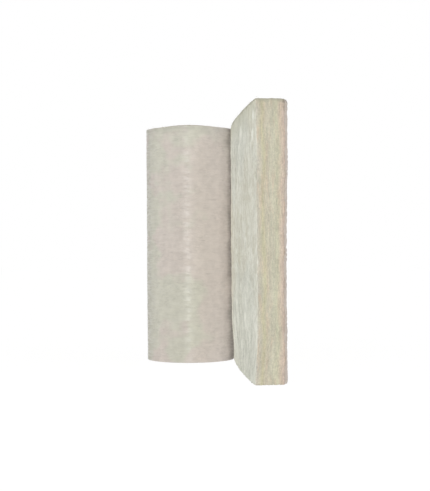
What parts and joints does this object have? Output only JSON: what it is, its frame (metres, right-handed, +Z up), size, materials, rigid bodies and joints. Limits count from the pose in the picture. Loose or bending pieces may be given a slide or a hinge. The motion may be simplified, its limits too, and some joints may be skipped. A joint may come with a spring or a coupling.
{
  "type": "insulation roll",
  "caption": "Roll of faced mineral wool insulation blanket, standing on its end with its last length unrolled to a thick square-cut end.",
  "frame": {"origin": "on the floor, in the middle of the footprint of the roll and its free length", "axes": "+Z up along the roll's axis, -Y along the free length towards its cut end, +X from the roll towards the free length's faced side"},
  "size_m": [0.6606, 1.5152, 1.2],
  "materials": {
    "wool": "matt layered mineral wool, beige on the cut end and paler on the bare face",
    "facing": "satin warm grey fleece facing, finely wrinkled round the roll"
  },
  "bodies": {
    "root": {"wool_blanket": "wool", "facing_sheet": "facing"}
  },
  "joints": []
}
